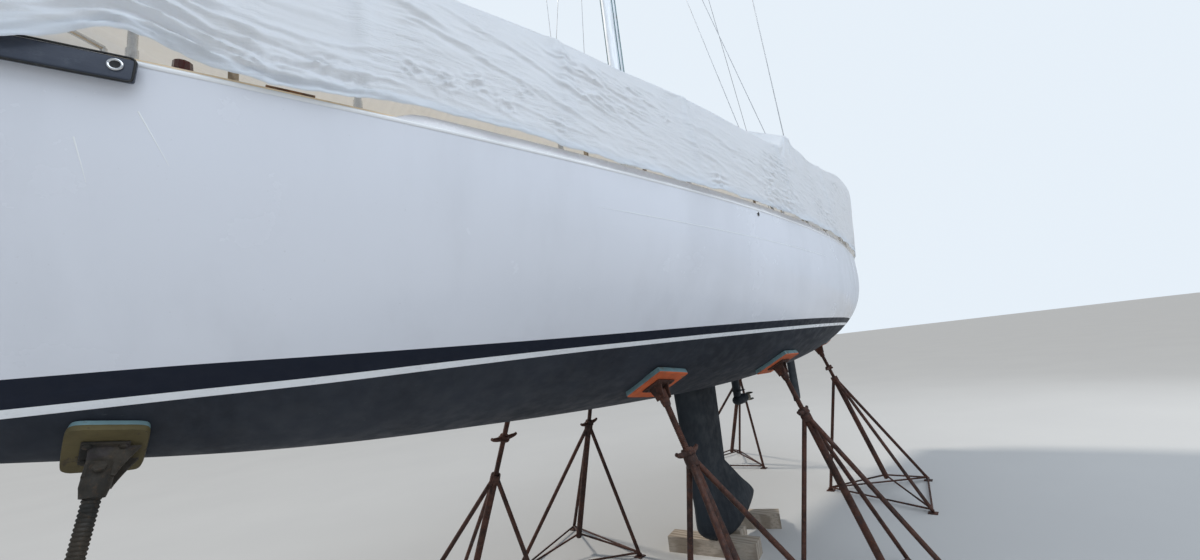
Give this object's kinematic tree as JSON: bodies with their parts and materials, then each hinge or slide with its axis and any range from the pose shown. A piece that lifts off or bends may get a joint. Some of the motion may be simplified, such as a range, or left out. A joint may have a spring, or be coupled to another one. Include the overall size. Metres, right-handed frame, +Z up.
{
  "type": "sailing yacht laid up ashore on jack stands",
  "caption": "Fin-keel sailing yacht stored ashore on jack stands and keel timbers, mast stepped, under a winter cover; rudder and propeller turn.",
  "frame": {"origin": "on the ground, below the middle of the yacht's length and breadth", "axes": "+X forward to the bow, +Y to port, +Z up"},
  "size_m": [9.5012, 4.3031, 14.88],
  "materials": {
    "gelcoat": "glossy white gelcoat with a navy and a white stripe at the waterline",
    "deck_gelcoat": "cream deck gelcoat",
    "antifouling": "flat charcoal bottom paint",
    "stainless": "polished stainless steel",
    "bronze": "dull bronze",
    "mast_aluminium": "satin anodised",
    "cover_cloth": "grey-white reinforced cover cloth",
    "navy_cloth": "navy covered padded board",
    "red_lens": "red lamp lens",
    "green_lens": "green lamp lens",
    "rusty_steel": "rusted steel with remains of dark paint",
    "plywood": "worn orange painted plywood",
    "timber": "raw weathered softwood"
  },
  "bodies": {
    "root": {"hull": "gelcoat", "keel_fin": "antifouling", "keel_foot": "antifouling", "saildrive_leg": "antifouling", "deck": "deck_gelcoat", "coachroof": "deck_gelcoat", "toe_rail_port": "gelcoat", "toe_rail_starboard": "gelcoat", "guardrail_port": "stainless", "guardrail_starboard": "stainless", "pulpit": "stainless", "pushpit": "stainless", "sidelight_port": "red_lens", "sidelight_starboard": "green_lens", "stem_fitting": "stainless", "cleat_bow_port": "stainless", "cleat_bow_starboard": "stainless", "cleat_stern_port": "stainless", "cleat_stern_starboard": "stainless", "mast": "mast_aluminium", "spreader_port": "mast_aluminium", "cap_shroud_port": "stainless", "spreader_starboard": "mast_aluminium", "cap_shroud_starboard": "stainless", "forestay": "stainless", "backstay": "stainless", "cover": "cover_cloth", "cover_pole_fore": "timber", "cover_pole_aft": "timber", "fender_board": "navy_cloth", "pad_bow": "plywood", "stand_bow": "rusty_steel", "pad_fore_port": "plywood", "stand_fore_port": "rusty_steel", "pad_mid_port": "plywood", "stand_mid_port": "rusty_steel", "pad_stern_port": "plywood", "stand_stern_port": "rusty_steel", "pad_fore_starboard": "plywood", "stand_fore_starboard": "rusty_steel", "pad_mid_starboard": "plywood", "stand_mid_starboard": "rusty_steel", "pad_stern_starboard": "plywood", "stand_stern_starboard": "rusty_steel", "keel_timber_fore": "timber", "keel_timber_mid": "timber", "keel_timber_aft": "timber"},
    "rudder": {"rudder": "antifouling"},
    "propeller": {"propeller": "bronze"}
  },
  "joints": [
    {"name": "rudder_turn", "type": "hinge", "parent": "root", "child": "rudder", "pos_m": [-3.555, 0, 2], "axis": [0, 0, 1], "range_deg": [-35, 35]},
    {"name": "propeller_spin", "type": "hinge", "parent": "root", "child": "propeller", "pos_m": [-1.785, 0, 1.297], "axis": [1, 0, 0], "continuous": true}
  ]
}
